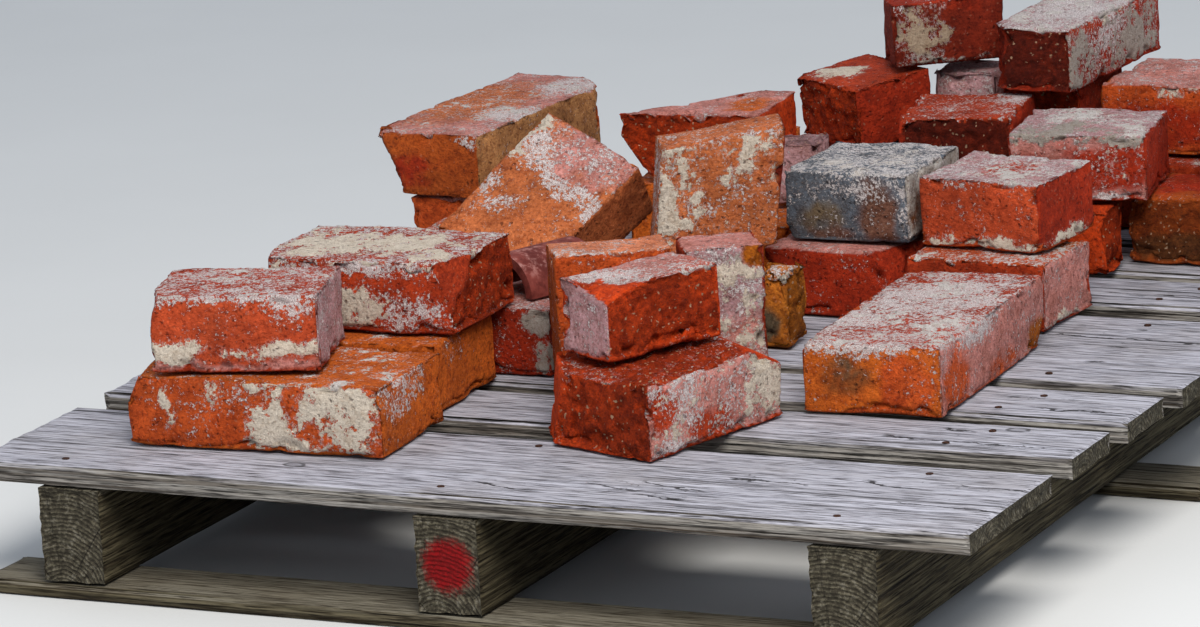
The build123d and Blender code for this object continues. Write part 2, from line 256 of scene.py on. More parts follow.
LOOKS = {
    "orange_brick_front": Look(
        "orange", faces={"front": "bright", "right": "orange"}, broken=("left",),
        mortar={"top": 0.2}, lime={"top": 0.35, "front": 0.2, "right": 0.15},
        patches=(
            ("cream", "front", 0.17, 0.50, 0.03, 0.28, 0.9), ("cream", "front", 0.35, 0.88, 0.05, 0.22, 0.8),
            ("cream", "front", 0.52, 0.90, 0.10, 0.16, 0.9), ("cream", "front", 0.57, 0.40, 0.10, 0.42, 0.9),
            ("cream", "front", 0.84, 0.68, 0.15, 0.36, 1.0), ("cream", "front", 0.90, 0.23, 0.08, 0.26, 1.0),
            ("cream", "front", 0.69, 0.05, 0.08, 0.15, 1.0), ("cream", "front", 0.72, 0.95, 0.12, 0.14, 0.7),
            ("lime", "right", 0.36, 0.82, 0.34, 0.34, 0.7), ("lime", "front", 0.40, 0.60, 0.25, 0.30, 0.4),
        ),
    ),
    "orange_brick_rear": Look(
        "orange", mortar={"top": 0.15}, lime={"top": 0.3},
        patches=(("lime", "right", 0.40, 0.80, 0.25, 0.25, 0.6),),
    ),
    "speckled_bat": Look(
        "red", faces={"right": "dusty", "front": "brickred"}, broken=("left",),
        mortar={"top": 0.25}, lime={"top": 0.72, "right": 0.5, "front": 0.2},
        patches=(
            ("cream", "front", 0.16, 0.30, 0.15, 0.14, 1.0), ("cream", "front", 0.77, 0.30, 0.26, 0.12, 1.0),
            ("cream", "front", 0.46, 0.30, 0.22, 0.08, 0.9), ("pink", "front", 0.5, 0.08, 0.7, 0.10, 0.9),
            ("lime", "front", 0.85, 0.80, 0.16, 0.22, 0.7), ("lime", "front", 0.45, 0.98, 0.60, 0.12, 0.9),
        ),
    ),
    "limed_brick": Look(
        "red", faces={"right": "dark_red", "front": "red"}, broken=("right",),
        mortar={"top": 0.40}, lime={"top": 0.75, "front": 0.35},
        patches=(
            ("cream", "top", 0.75, 0.62, 0.22, 0.34, 0.9), ("cream", "top", 0.40, 0.45, 0.24, 0.34, 0.9),
            ("cream", "top", 0.18, 0.70, 0.12, 0.25, 0.9), ("cream", "front", 0.08, 0.67, 0.11, 0.34, 1.0),
            ("cream", "front", 0.42, 0.36, 0.30, 0.16, 0.9), ("lime", "front", 0.60, 0.88, 0.50, 0.14, 0.8),
            ("cream", "front", 0.30, 0.12, 0.30, 0.14, 0.8), ("lime", "front", 0.70, 0.30, 0.35, 0.25, 0.6),
            ("lime", "right", 0.50, 0.04, 0.60, 0.10, 0.9),
        ),
    ),
    "brick_under_tile": Look(
        "crimson", faces={"top": "pink", "right": "maroon"}, lime={"top": 0.5, "front": 0.25},
        patches=(
            ("grey", "front", 0.93, 0.82, 0.07, 0.34, 0.9), ("grey", "front", 0.94, 0.24, 0.05, 0.26, 0.9),
            ("grey", "right", 0.30, 0.25, 0.35, 0.25, 0.8),
        ),
        slot="dark_red_brick",
    ),
    "edge_bat_left": Look(
        "orange", faces={"top": "peach", "left": "rust", "front": "bright"}, mortar={"left": 0.05},
        lime={"top": 0.45, "left": 0.2, "front": 0.2}, patches=(("lime", "top", 0.5, 0.9, 0.6, 0.2, 0.5),),
    ),
    "edge_bat_right": Look(
        "red", faces={"top": "pink", EDGE_FACE: "dusty"}, mortar={EDGE_FACE: 0.34},
        lime={"top": 0.4, EDGE_FACE: 0.6},
        patches=(
            ("grey", EDGE_FACE, 0.60, 0.82, 0.55, 0.16, 1.0),
            ("cream", EDGE_FACE, 0.45, 0.68, 0.45, 0.14, 0.8),
            ("pink", EDGE_FACE, 0.60, 0.30, 0.60, 0.22, 0.8),
            ("bare", EDGE_FACE, 0.88, 0.90, 0.17, 0.11, 1.0),
        ),
    ),
    "broken_brick": Look(
        "dark_red", faces={"right": "pink", "top": "dark_red", "front": "dark_red"},
        broken=("front", "left", "top"), mortar={"top": 0.12, "right": 0.1},
        lime={"right": 0.55, "top": 0.75},
        patches=(
            ("cream", "right", 0.86, 0.52, 0.17, 0.40, 0.8), ("lime", "right", 0.30, 0.60, 0.18, 0.36, 0.5),
            ("lime", "right", 0.14, 0.08, 0.12, 0.20, 0.6), ("red", "right", 0.12, 0.62, 0.09, 0.25, 1.0),
            ("red", "right", 0.45, 0.22, 0.16, 0.20, 0.9),
        ),
        slot="dark_red_brick",
    ),
    "bat_on_broken_brick": Look(
        "dark_red", faces={"front": "dusty", "right": "dark_red", "top": "pink"}, broken=("right",),
        lime={"top": 0.55, "front": 0.4}, mortar={"top": 0.2},
        patches=(("lime", "top", 0.61, 0.85, 0.40, 0.40, 0.6), ("red", "top", 0.2, 0.3, 0.35, 0.4, 0.5)),
        slot="dark_red_brick",
    ),
    "ochre_bat": Look(
        "amber", faces={"front": "amber", OCHRE_CHIP: "salmon"}, broken=("right",),
        lime={"top": 0.7, OCHRE_CHIP: 0.45},
        mortar={"top": 0.25, OCHRE_CHIP: 0.3}, patches=(("soot", "front", 0.4, 0.25, 0.35, 0.3, 0.9),),
        slot="ochre_brick", wear=2.4,
    ),
    "dark_red_brick": Look(
        "crimson", faces={"top": "pink", "right": "maroon"}, broken=("right",),
        lime={"top": 0.35, "front": 0.15},
        slot="dark_red_brick",
    ),
    "whole_brick": Look(
        "bright", faces={"front": "orange", "right": "pink", "top": "red"},
        mortar={"top": 0.30}, lime={"top": 0.78, "right": 0.35, "front": 0.2},
        patches=(
            ("lime", "front", 0.35, 0.93, 0.50, 0.12, 0.8), ("brown", "front", 0.30, 0.55, 0.20, 0.36, 0.7),
            ("soot", "front", 0.32, 0.62, 0.12, 0.22, 0.6),
            ("bright", "front", 0.75, 0.45, 0.20, 0.40, 0.9), ("ochre", "right", 0.90, 0.22, 0.08, 0.30, 1.0),
            ("bright", "right", 0.15, 0.35, 0.15, 0.40, 0.8), ("lime", "top", 0.82, 0.60, 0.26, 0.14, 0.8),
            ("lime", "top", 0.55, 0.35, 0.36, 0.22, 0.8), ("lime", "right", 0.35, 0.85, 0.25, 0.16, 0.8),
            ("bright", "right", 0.60, 0.20, 0.20, 0.20, 0.7),
        ),
    ),
    "brick_behind_whole": Look(
        "red", faces={"right": "pink", "top": "bright"}, lime={"top": 0.6, "right": 0.35},
        mortar={"top": 0.3},
        patches=(("cream", "right", 0.35, 0.10, 0.45, 0.16, 0.8), ("ochre", "top", 0.2, 0.3, 0.2, 0.3, 0.7)),
    ),
    "prop_bat": Look("bright", mortar={"top": 0.3}, lime={"top": 0.5}),
    "far_bat": Look("bright", faces={"top": "pink"}, lime={"top": 0.4}, broken=("right",)),
    "dark_bat": Look("dark_red", slot="dark_red_brick", broken=("right", "left")),
    "rounded_brown_brick": Look(
        "rust", faces={"top": "rust"}, broken=("left", "front"), lime={"top": 0.15},
        patches=(("brown", "front", 0.5, 0.2, 0.6, 0.3, 0.8), ("crimson", "top", 0.5, 0.4, 0.5, 0.5, 0.8)),
        slot="ochre_brick", wear=2.0,
    ),
    "red_brick": Look(
        "bright", faces={"front": "brickred", "right": "crimson", "top": "dusty"},
        lime={"top": 0.70, "front": 0.22}, mortar={"top": 0.28},
        patches=(
            ("cream", "front", 0.20, 0.03, 0.16, 0.14, 1.0), ("cream", "front", 0.72, 0.05, 0.26, 0.15, 1.0),
            ("cream", "right", 0.50, 0.06, 0.36, 0.16, 1.0), ("lime", "front", 0.30, 0.90, 0.30, 0.12, 0.5),
            ("crimson", "right", 0.5, 0.6, 0.6, 0.4, 0.6), ("red", "top", 0.5, 0.5, 0.25, 0.3, 0.7),
        ),
    ),
    "burnt_grey_brick": Look(
        "slate", faces={"front": "slate", "right": "grey", "top": "slate"}, broken=((-0.7, -0.35, -0.5),),
        lime={"top": 0.8, "front": 0.35, "right": 0.4}, mortar={"top": 0.3},
        patches=(
            ("umber", "front", 0.72, 0.45, 0.16, 0.55, 0.8), ("soot", "front", 0.30, 0.30, 0.25, 0.30, 0.6),
            ("umber", "front", 0.40, 0.15, 0.20, 0.15, 0.7), ("lime", "front", 0.55, 0.80, 0.35, 0.20, 0.5),
            ("lime", "front", 0.97, 0.61, 0.10, 0.55, 0.6),
            ("brown", "right", 0.5, 0.4, 0.5, 0.4, 0.7),
        ),
        slot="burnt_brick",
    ),
    "standing_bat": Look(
        "salmon", faces={"front": "salmon", "right": "maroon"}, lime={"front": 0.40, "top": 0.5},
        mortar={"front": 0.14},
        patches=(
            ("cream", "front", 0.19, 0.83, 0.14, 0.16, 1.0), ("cream", "front", 0.08, 0.50, 0.07, 0.34, 1.0),
            ("cream", "front", 0.73, 0.80, 0.07, 0.26, 1.0), ("cream", "front", 0.62, 0.64, 0.09, 0.09, 1.0),
            ("cream", "front", 0.35, 0.46, 0.07, 0.12, 1.0), ("cream", "front", 0.20, 0.32, 0.16, 0.07, 0.9),
            ("cream", "front", 0.28, 0.66, 0.10, 0.10, 0.7), ("lime", "left", 0.5, 0.6, 0.6, 0.5, 0.7),
            ("cream", "right", 0.5, 0.85, 0.3, 0.14, 0.8),
        ),
    ),
    "leaning_bat": Look(
        "salmon", faces={"top": "salmon", "front": "rust"}, lime={"top": 0.25, "front": 0.15},
        patches=(
            ("pink", "top", 0.80, 0.74, 0.30, 0.26, 0.8), ("lime", "top", 0.80, 0.74, 0.36, 0.30, 0.42),
            ("lime", "top", 0.50, 0.66, 0.06, 0.06, 0.9), ("lime", "top", 0.56, 0.60, 0.06, 0.06, 0.9),
            ("lime", "top", 0.62, 0.55, 0.06, 0.06, 0.9), ("lime", "top", 0.68, 0.50, 0.06, 0.06, 0.9),
            ("lime", "top", 0.75, 0.44, 0.06, 0.06, 0.9), ("lime", "top", 0.82, 0.38, 0.06, 0.06, 0.8),
            ("cream", "top", 0.33, 0.80, 0.07, 0.09, 0.9), ("cream", "top", 0.42, 0.92, 0.09, 0.08, 0.9),
            ("lime", "top", 0.44, 0.78, 0.12, 0.14, 0.6), ("lime", "top", 0.30, 0.45, 0.12, 0.05, 0.7),
            ("lime", "top", 0.22, 0.60, 0.06, 0.08, 0.7),
        ),
    ),
    "upper_back_brick": Look(
        "rust", faces={"top": "pink", "front": "rust", "right": "tan"}, broken=((-0.75, -0.5, -0.38),),
        lime={"top": 0.45, "right": 0.15}, mortar={"top": 0.15},
        patches=(
            ("lime", "front", 0.86, 0.80, 0.14, 0.10, 0.9), ("lime", "top", 0.19, 0.20, 0.25, 0.16, 0.8),
            ("lime", "top", 0.24, 0.65, 0.25, 0.12, 0.7), ("salmon", "top", 0.7, 0.5, 0.5, 0.4, 0.8),
            ("crimson", "front", 0.30, 0.30, 0.40, 0.30, 0.6),
        ),
    ),
    "rough_long_brick": Look(
        "dark_red", faces={"top": "pink"}, broken=("front", "left", (-0.7, 0.7, 0), LONG_CHAMFER),
        lime={"top": 0.35},
        patches=(
            ("orange", "top", 0.22, 0.57, 0.16, 0.26, 1.0), ("lime", LONG_CHAMFER, 0.63, 0.7, 0.14, 0.8, 0.6),
        ),
        slot="dark_red_brick",
    ),
    "small_pale_bat": Look(
        "dusty", lime={"top": 0.45, "front": 0.3}, broken=("top",), slot="pale_brick", wear=1.6,
    ),
    "large_red_brick": Look(
        "crimson", faces={"right": "crimson", "top": "red", "front": "dark_red"}, broken=("front",),
        lime={"top": 0.15}, patches=(("cream", "top", 0.66, 0.50, 0.20, 0.17, 1.0),),
    ),
    "rough_red_brick": Look(
        "crimson", faces={"top": "red", "front": "maroon", "right": "crimson"}, broken=("front",),
        lime={"top": 0.5}, patches=(("lime", "top", 0.2, 0.25, 0.25, 0.15, 0.7),), slot="dark_red_brick",
    ),
    "grey_faced_brick": Look(
        "crimson", faces={"top": "dusty", "front": "pink"},
        lime={"top": 0.55, "front": 0.30, "right": 0.10},
        mortar={"top": 0.35, "front": 0.1},
        patches=(
            ("grey", "front", 0.50, 0.94, 0.55, 0.10, 0.9), ("lime", "front", 0.60, 0.03, 0.50, 0.10, 0.9),
            ("crimson", "front", 0.85, 0.60, 0.25, 0.40, 0.8),
            ("grey", "top", 0.59, 0.94, 0.30, 0.26, 0.8), ("crimson", "front", 0.60, 0.45, 0.60, 0.35, 0.8),
        ),
        slot="dark_red_brick",
    ),
    "pale_bat": Look("dusty", lime={"front": 0.5, "top": 0.5}, slot="pale_brick", wear=1.4),
    "back_right_brick": Look(
        "orange", faces={"top": "pink", "front": "bright"}, lime={"top": 0.5, "front": 0.2},
        patches=(
            ("cream", "front", 0.7, 0.94, 0.4, 0.10, 0.8), ("crimson", "front", 0.3, 0.4, 0.4, 0.4, 0.7),
        ),
    ),
    "shadowed_bat": Look(
        "crimson", faces={"front": "dark_red"}, broken=("front",), lime={"top": 0.3}, slot="dark_red_brick",
    ),
    "edge_brick_right": Look("red", faces={"front": "pink"}, lime={"front": 0.4, "top": 0.4}),
    "top_right_brick": Look(
        "crimson", faces={"front": "maroon", "right": "crimson", "top": "dusty"},
        broken=((-0.75, -0.65, 0), "front"),
        lime={"top": 0.75, "right": 0.45}, mortar={"right": 0.25, "top": 0.3},
        patches=(
            ("grey", "right", 0.12, 0.36, 0.20, 0.50, 1.0), ("grey", "right", 0.68, 0.30, 0.28, 0.45, 0.9),
            ("lime", "right", 0.45, 0.60, 0.30, 0.40, 0.7), ("red", "right", 0.15, 0.97, 0.16, 0.16, 1.0),
            ("lime", "top", 0.5, 0.4, 0.6, 0.6, 0.6),
        ),
    ),
    # The maroon of its front face, right of the sand mortar, is painted shade, for the shadow on that part.
    "top_left_brick": Look(
        "maroon", faces={"front": "maroon", "top": "crimson"}, broken=((-0.8, 0.5, 0),), lime={"top": 0.3},
        patches=(
            ("sand", "front", 0.27, 0.45, 0.26, 0.40, 1.0), ("grey", "front", 0.35, 0.06, 0.40, 0.10, 0.9),
            ("lime", "front", 0.05, 0.95, 0.12, 0.16, 0.9), ("crimson", "front", 0.60, 0.90, 0.25, 0.15, 0.6),
        ),
    ),
}

HIDDEN_LOOKS = (
    Look("red", lime={"top": 0.4}, mortar={"top": 0.2, "back": 0.2}),
    Look("orange", lime={"top": 0.3}, mortar={"top": 0.15, "back": 0.25}),
    Look("crimson", lime={"top": 0.4}, mortar={"back": 0.15}),
)


def linear(name):
    """A palette colour, or one written in sRGB, as the linear light that shaders use."""
    code = PALETTE.get(name, name)
    channels = np.array([int(code[i:i + 2], 16) / 255 for i in (1, 3, 5)])
    return np.where(channels <= 0.04045, channels / 12.92, ((channels + 0.055) / 1.055) ** 2.4)


def ripple(points, size, seed):
    """Smooth random values from about -1 to 1 whose waves are about size metres long."""
    shift = Vector((seed * 7.31, seed * 3.17, seed * 5.73))
    return np.array([noise.noise(Vector(p) / size + shift) for p in points])


def places(mesh):
    """Every point of a mesh, a row each."""
    flat = np.empty(len(mesh.vertices) * 3)
    mesh.vertices.foreach_get("co", flat)
    return flat.reshape(-1, 3)


def added(name, data):
    """A new object of the scene."""
    made = bpy.data.objects.new(name, data)
    bpy.context.scene.collection.objects.link(made)
    return made


def step(low, high, value):
    """0 below low, 1 above high and smooth between."""
    t = np.clip((value - low) / (high - low), 0.0, 1.0)
    return t * t * (3 - 2 * t)


def islands(node):
    """The separate solids of a CAD node, in the same order each run: corners, faces, flat sides."""
    mesh = bmesh.new()
    mesh.from_mesh(node.data)
    bmesh.ops.remove_doubles(mesh, verts=mesh.verts, dist=1e-6)
    mesh.verts.index_update()
    mesh.faces.index_update()
    seen = set()
    found = []
    for start in mesh.faces:
        if start in seen:
            continue
        seen.add(start)
        group, edge = [], [start]
        while edge:
            face = edge.pop()
            group.append(face)
            for other in (f for v in face.verts for f in v.link_faces):
                if other not in seen:
                    seen.add(other)
                    edge.append(other)
        group.sort(key=lambda f: f.index)
        corners = sorted({v for f in group for v in f.verts}, key=lambda v: v.index)
        place = {v: i for i, v in enumerate(corners)}
        planes = face_planes(group)
        found.append(([v.co.copy() for v in corners], [[place[v] for v in f.verts] for f in group], planes))
    mesh.free()
    return found


def face_planes(faces):
    """The broad flat sides of a solid: outward normal, offset and area of each."""
    sides = []
    for face in faces:
        offset = face.normal.dot(face.verts[0].co)
        for side in sides:
            if side[0].dot(face.normal) > 0.999 and abs(side[1] - offset) < 2e-4:
                side[2] += face.calc_area()
                break
        else:
            sides.append([face.normal.copy(), offset, face.calc_area()])
    largest = max(side[2] for side in sides)
    return [side for side in sides if side[2] > 0.06 * largest]


def fine_mesh(name, corners, faces, voxel):
    """A solid rebuilt as an even fine skin."""
    mesh = bpy.data.meshes.new(name)
    mesh.from_pydata(corners, [], faces)
    piece = added(name, mesh)
    remesh = piece.modifiers.new("skin", "REMESH")
    remesh.mode = "VOXEL"
    remesh.voxel_size = voxel
    graph = bpy.context.evaluated_depsgraph_get()
    fine = bpy.data.meshes.new_from_object(piece.evaluated_get(graph))
    piece.modifiers.clear()
    piece.data = fine
    bpy.data.meshes.remove(mesh)
    return piece


class Faces:
    """Which side of a brick each point of its skin belongs to, and where on that side it is."""

    def __init__(self, points, planes, seed):
        self.normals = np.array([tuple(side[0]) for side in planes])
        offsets = np.array([side[1] for side in planes])
        depth = np.maximum(offsets - points @ self.normals.T, 0)
        order = depth.argsort(axis=1)
        rows = np.arange(len(points))
        self.own = order[:, 0]
        self.next = order[:, 1]
        self.to_edge = depth[rows, self.next]
        frayed = [depth[:, side] + FRAY * ripple(points, FRAY_WAVE, seed + side)
                  for side in range(len(planes))]
        self.coloured = np.array(frayed).argmin(axis=0)
        self.points = points
        self.wander = [WANDER * ripple(points, PATCH_WAVE, seed + turn) for turn in (90, 91)]

    def named(self, word):
        """The side that faces most nearly along a named or given direction."""
        way = np.array(DIRECTIONS.get(word, word), float)
        return int((self.normals @ way).argmax())

    def on(self, word):
        """1 on the named side, 0 elsewhere."""
        return (self.own == self.named(word)).astype(float)

    def over(self, word):
        """1 where the named side's colour reaches, past its edges here and short of them there."""
        return (self.coloured == self.named(word)).astype(float)

    def spot(self, word, across, up, half_width, half_height):
        """1 at a spot's middle, falling to 0 at its rim, on the named side."""
        side = self.named(word)
        normal = self.normals[side]
        level = np.cross((0, 0, 1), normal) if abs(normal[2]) < 0.75 else np.cross((0, -1, 0), normal)
        level /= np.linalg.norm(level)
        rise = np.cross(normal, level)
        mine = self.own == side
        if not mine.any():
            return np.zeros(len(self.points))
        u, v = self.points @ level + self.wander[0], self.points @ rise + self.wander[1]
        u = (u - u[mine].min()) / np.ptp(u[mine])
        v = (v - v[mine].min()) / np.ptp(v[mine])
        away = np.hypot((u - across) / half_width, (v - up) / half_height)
        return np.clip(1.5 - away, 0, 1) * self.over(word)


def weather(piece, planes, look, seed):
    """Wears a brick's skin: rounded arrises, chips, torn faces, and mortar standing proud."""
    mesh = piece.data
    points = places(mesh)
    faces = Faces(points, planes, seed + 4)
    broad = ripple(points, BROAD_WAVE, seed)
    middle = ripple(points, MIDDLE_WAVE, seed + 1)
    small = ripple(points, SMALL_WAVE, seed + 2)
    fine = ripple(points, FINE_WAVE, seed + 3)
    ragged = 0.45 * broad + 0.55 * middle + 0.45 * small + 0.35 * fine
    torn = np.zeros(len(points))
    for word in look.broken:
        torn = np.maximum(torn, faces.on(word))
    arris = ARRIS_LEAST + (ARRIS_MOST - ARRIS_LEAST) * step(-0.5, 0.8, broad + 0.5 * middle)
    edge = np.clip(1 - faces.to_edge / arris, 0, 1)
    clay, tone, crust, lime = paint(faces, look, ragged, edge)
    raised = step(0.42, 0.58, crust)
    chip = step(0.20, 0.65, middle + 0.4 * small) * step(CHIP_REACH, 0.0, faces.to_edge)
    upper = 1 - 0.8 * faces.on("bottom")
    rounding = np.clip(1 - faces.to_edge / (look.wear * arris), 0, 1)
    depth = ARRIS_SHARE * look.wear * arris * rounding ** 2 + CHIP_DEPTH * chip * upper
    depth += SMOOTH_DEPTH * (0.6 + 0.5 * small + 0.3 * fine) * (1 - torn) * upper
    sag = np.clip(0.5 + 0.9 * ripple(points, SAG_WAVE, seed + 6), 0, 1)
    depth += SAG_DEPTH * sag * upper
    depth += MORTAR_DEPTH * (1 - raised) * (1 - torn) * upper
    rough = 0.5 + 0.28 * broad + 0.38 * middle + 0.30 * small + 0.22 * fine
    depth += BROKEN_DEPTH * np.clip(rough, 0, 1.3) * torn * upper
    inward = faces.normals[faces.own] + faces.normals[faces.next] * rounding[:, None]
    inward /= np.linalg.norm(inward, axis=1)[:, None]
    mesh.vertices.foreach_set("co", (points - inward * depth[:, None]).ravel())
    worn = np.clip(edge ** 2 + chip, 0, 1)
    store(mesh, "clay", clay * (1 + 0.28 * broad + 0.22 * middle)[:, None])
    store(mesh, "tone", tone)
    store(mesh, "crust", crust)
    store(mesh, "lime", np.clip(lime, 0, 1) * (1 - 0.6 * torn))
    store(mesh, "torn", np.maximum(torn, 0.5 * worn))
    mesh.shade_smooth()


def paint(faces, look, ragged, edge):
    """The clay's colour, the mortar's colour, how thick mortar is, and how limy each point is."""
    count = len(faces.points)
    clay = np.tile(linear(look.clay), (count, 1))
    for word, colour in look.faces.items():
        clay[faces.coloured == faces.named(word)] = linear(colour)
    mortar = sum((amount * faces.over(word) for word, amount in look.mortar.items()), np.zeros(count))
    lime = sum((amount * faces.over(word) for word, amount in look.lime.items()), np.zeros(count))
    tone = np.tile(linear("cream"), (count, 1))
    tone[faces.coloured == faces.named("top")] = linear("lime")
    for kind, word, across, up, half_width, half_height, strength in look.patches:
        spot = strength * faces.spot(word, across, up, half_width, half_height)
        if kind in MORTARS:
            mortar = np.maximum(mortar, COVER * spot)
            tone[spot > 0.02] = linear(kind)
        elif kind == "lime":
            lime = np.maximum(lime, lime * 0.6 + spot)
        elif kind == "bare":
            gone = step(0.25, 0.60, spot + 0.25 * ragged)
            mortar, lime = mortar * (1 - gone), lime * (1 - gone)
            clay = clay * (1 - gone[:, None]) + linear("ochre") * gone[:, None]
        else:
            stain = step(0.30, 0.75, spot + 0.35 * ragged)[:, None]
            clay = clay * (1 - stain) + linear(kind) * stain
    crust = np.where(mortar > 0, mortar + RAGGED * ragged, 0)
    return clay, tone, crust, lime + EDGE_LIME * edge


def store(mesh, name, values):
    """Keeps a value or a colour for every point of a mesh, for its material."""
    if values.ndim == 2:
        layer = mesh.attributes.new(name, "FLOAT_COLOR", "POINT")
        values = np.hstack([values, np.ones((len(values), 1))])
        layer.data.foreach_set("color", np.clip(values, 0, 1).astype(np.float32).ravel())
    else:
        layer = mesh.attributes.new(name, "FLOAT", "POINT")
        layer.data.foreach_set("value", values.astype(np.float32))


class Graph:
    """A material's nodes, made and joined in one call each."""

    def __init__(self, name):
        self.material = bpy.data.materials.new(name)
        self.material.use_nodes = True
        self.tree = self.material.node_tree
        self.shader = self.tree.nodes["Principled BSDF"]

    def node(self, kind, inputs=None, **settings):
        """Makes a node, sets its properties and links or fills its inputs. Gives its first output."""
        made = self.tree.nodes.new(kind)
        for key, value in settings.items():
            setattr(made, key, value)
        for key, value in (inputs or {}).items():
            self.fill(made.inputs[key], value)
        return made.outputs[0]

    def fill(self, socket, value):
        """Links an output to a socket, or sets the socket to a plain value."""
        if isinstance(value, bpy.types.NodeSocket):
            self.tree.links.new(value, socket)
        elif isinstance(value, (tuple, list, np.ndarray)) and socket.type == "RGBA":
            socket.default_value = (*value, 1.0)
        else:
            socket.default_value = value

    def attribute(self, name, colour=False):
        """A value or colour kept on the mesh."""
        made = self.node("ShaderNodeAttribute", attribute_name=name)
        return made if colour else made.node.outputs["Fac"]

    def ramp(self, value, low, high):
        """0 below low and 1 above high."""
        inputs = {"Value": value, "From Min": low, "From Max": high}
        return self.node("ShaderNodeMapRange", inputs, interpolation_type="SMOOTHSTEP")

    def maths(self, operation, a, b=0.0):
        """One arithmetic step, on two values or on one."""
        return self.node("ShaderNodeMath", {0: a, 1: b}, operation=operation)

    def times(self, a, b):
        """The product of two values."""
        return self.maths("MULTIPLY", a, b)

    def plus(self, a, b):
        """The sum of two values."""
        return self.maths("ADD", a, b)

    def minus(self, a, b):
        """What is left of one value without another."""
        return self.maths("SUBTRACT", a, b)

    def larger(self, a, b):
        """The larger of two values."""
        return self.maths("MAXIMUM", a, b)

    def mix(self, factor, a, b, blend="MIX"):
        """One colour over another. The node's colours are its inputs 6 and 7 and its output 2."""
        made = self.tree.nodes.new("ShaderNodeMix")
        made.data_type = "RGBA"
        made.blend_type = blend
        self.fill(made.inputs["Factor"], factor)
        self.fill(made.inputs[6], a)
        self.fill(made.inputs[7], b)
        return made.outputs[2]

    def shade(self, colour, base, value, low, high, strength, by):
        """Lays the base, multiplied by a tint, over a colour where a value passes from low to high."""
        share = self.times(self.ramp(value, low, high), strength)
        return self.mix(share, colour, self.tinted(base, by))

    def tinted(self, colour, by):
        """A colour multiplied by another."""
        return self.mix(1.0, colour, by, "MULTIPLY")

    def noise(self, place, scale, detail=3.0, roughness=0.6, distortion=0.0):
        """Cloudy noise from 0 to 1."""
        inputs = {"Vector": place, "Scale": scale, "Detail": detail, "Roughness": roughness,
                  "Distortion": distortion}
        return self.node("ShaderNodeTexNoise", inputs)

    def place(self, stretch=(1.0, 1.0, 1.0), shift=(0.0, 0.0, 0.0)):
        """The point's own place in metres, stretched along the axes."""
        own = self.tree.nodes.new("ShaderNodeTexCoord").outputs["Object"]
        return self.node("ShaderNodeMapping", {"Vector": own, "Scale": stretch, "Location": shift})

    def bump(self, height, distance, strength=1.0, under=None):
        """Small relief, on top of another bump where one is given."""
        inputs = {"Height": height, "Distance": distance, "Strength": strength}
        if under is not None:
            inputs["Normal"] = under
        return self.node("ShaderNodeBump", inputs)

    def finish(self, colour, roughness, normal):
        """Joins the last nodes to the shader."""
        self.fill(self.shader.inputs["Base Color"], colour)
        self.fill(self.shader.inputs["Roughness"], roughness)
        self.fill(self.shader.inputs["Normal"], normal)
        self.shader.inputs["Specular IOR Level"].default_value = SHEEN
        return self.material


